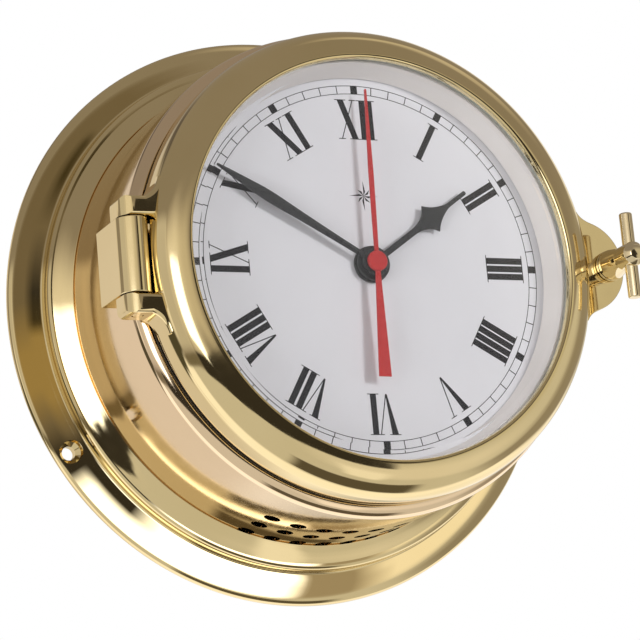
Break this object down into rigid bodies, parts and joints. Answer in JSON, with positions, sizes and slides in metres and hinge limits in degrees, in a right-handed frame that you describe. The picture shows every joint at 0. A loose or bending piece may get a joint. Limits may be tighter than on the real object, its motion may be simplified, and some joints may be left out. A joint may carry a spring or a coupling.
{
  "type": "ships clock",
  "caption": "Polished brass ship's clock on a round wall flange, with a hinged glazed door that a T-screw clamps shut, Roman dial, three hands and a battery movement.",
  "frame": {"origin": "Centre of the flat back face, on the clock's axis, where the clock meets the wall", "axes": "+Z is 12 o'clock, +X is 3 o'clock, and +Y points back into the wall, so the dial faces -Y"},
  "size_m": [0.18, 0.0879, 0.18],
  "materials": {
    "brass": "mirror polished, lacquered",
    "steel": "zinc plated",
    "white_paint": "warm white satin paint",
    "dial_white": "cool white satin paint",
    "black_paint": "black satin paint",
    "red_paint": "red satin paint",
    "clear_glass": "clear, bevelled edge",
    "rubber": "black",
    "black_plastic": "moulded black",
    "white_plastic": "moulded white acetal",
    "copper": "enamelled copper wire",
    "laminate": "green circuit board",
    "battery_sleeve": "printed steel can, no words"
  },
  "bodies": {
    "case": {"base_flange": "brass", "case_drum": "brass", "back_plate": "brass", "back_plate_screw_1": "steel", "back_plate_screw_2": "steel", "back_plate_screw_3": "steel", "door_seal": "rubber", "hinge_block": "brass", "hinge_block_screw_1": "brass", "hinge_block_screw_2": "brass", "hinge_pin": "brass", "latch_lug": "brass", "latch_lug_screw": "brass", "dial_plate": "dial_white", "dial_carrier": "black_paint", "dial_foot_nut_1": "steel", "dial_foot_nut_2": "steel", "carrier_screw_1": "steel", "carrier_screw_2": "steel", "carrier_screw_3": "steel", "movement_pad": "rubber", "centre_bush": "brass", "dial_nut": "black_paint", "movement_case": "black_plastic", "movement_cover": "black_plastic", "middle_plate": "white_plastic", "back_bridge": "white_plastic", "coil": "copper", "stator": "steel", "circuit_board": "laminate", "battery": "battery_sleeve", "battery_contact_plus": "steel", "battery_contact_minus": "steel"},
    "door": {"bezel": "brass", "glass": "clear_glass", "glass_gasket": "rubber", "glass_ring": "white_paint", "glass_ring_screw_1": "steel", "glass_ring_screw_2": "steel", "glass_ring_screw_3": "steel"},
    "clamp_carriage": {"clamp_washer": "brass"},
    "clamp": {"clamp_screw": "brass", "clamp_bar": "brass"},
    "hour": {"hour_hand": "black_paint", "hour_wheel": "white_plastic"},
    "minute": {"minute_hand": "black_paint", "cannon_pinion": "white_plastic"},
    "setting": {"minute_wheel": "white_plastic", "setting_knob": "white_plastic"},
    "second": {"second_hand": "red_paint", "second_wheel": "white_plastic"},
    "centre": {"centre_wheel": "white_plastic"},
    "third": {"third_wheel": "white_plastic"},
    "fifth": {"fifth_wheel": "white_plastic"},
    "rotor": {"rotor": "steel"}
  },
  "joints": [
    {"name": "door_hinge", "type": "hinge", "parent": "case", "child": "door", "pos_m": [-0.0744, -0.0662, 0], "axis": [0, 0, -1], "range_deg": [0, 150]},
    {"name": "clamp_slide", "type": "slide", "parent": "door", "child": "clamp_carriage", "axis": [0, -1, 0], "range_m": [0, 0.006]},
    {"name": "clamp_turn", "type": "hinge", "parent": "clamp_carriage", "child": "clamp", "pos_m": [0.077, -0.0835, 0], "axis": [0, -1, 0], "range_deg": [0, 2700]},
    {"name": "minute_turn", "type": "hinge", "parent": "case", "child": "minute", "pos_m": [0, -0.0672, 0], "axis": [0, 1, 0], "continuous": true},
    {"name": "hour_turn", "type": "hinge", "parent": "case", "child": "hour", "pos_m": [0, -0.0659, 0], "axis": [0, 1, 0], "continuous": true},
    {"name": "setting_turn", "type": "hinge", "parent": "case", "child": "setting", "pos_m": [0, -0.041, 0.012], "axis": [0, 1, 0], "continuous": true},
    {"name": "second_turn", "type": "hinge", "parent": "case", "child": "second", "pos_m": [0, -0.0685, 0], "axis": [0, 1, 0], "continuous": true},
    {"name": "centre_turn", "type": "hinge", "parent": "case", "child": "centre", "pos_m": [0, -0.0554, 0], "axis": [0, 1, 0], "continuous": true},
    {"name": "third_turn", "type": "hinge", "parent": "case", "child": "third", "pos_m": [0.0088, -0.0542, 0], "axis": [0, 1, 0], "continuous": true},
    {"name": "fifth_turn", "type": "hinge", "parent": "case", "child": "fifth", "pos_m": [-0.0078, -0.0518, 0.0045], "axis": [0, 1, 0], "continuous": true},
    {"name": "rotor_turn", "type": "hinge", "parent": "case", "child": "rotor", "pos_m": [-0.0118, -0.0543, 0.0114], "axis": [0, 1, 0], "continuous": true}
  ],
  "couplings": [
    {"joint": "clamp_slide", "follows": "clamp_turn", "m_per_rad": 0.0001273},
    {"joint": "hour_turn", "follows": "minute_turn", "ratio": 0.083333},
    {"joint": "setting_turn", "follows": "minute_turn", "ratio": -0.33333},
    {"joint": "third_turn", "follows": "second_turn", "ratio": -0.13333},
    {"joint": "centre_turn", "follows": "second_turn", "ratio": 0.016667},
    {"joint": "fifth_turn", "follows": "second_turn", "ratio": -5},
    {"joint": "rotor_turn", "follows": "second_turn", "ratio": 30}
  ]
}
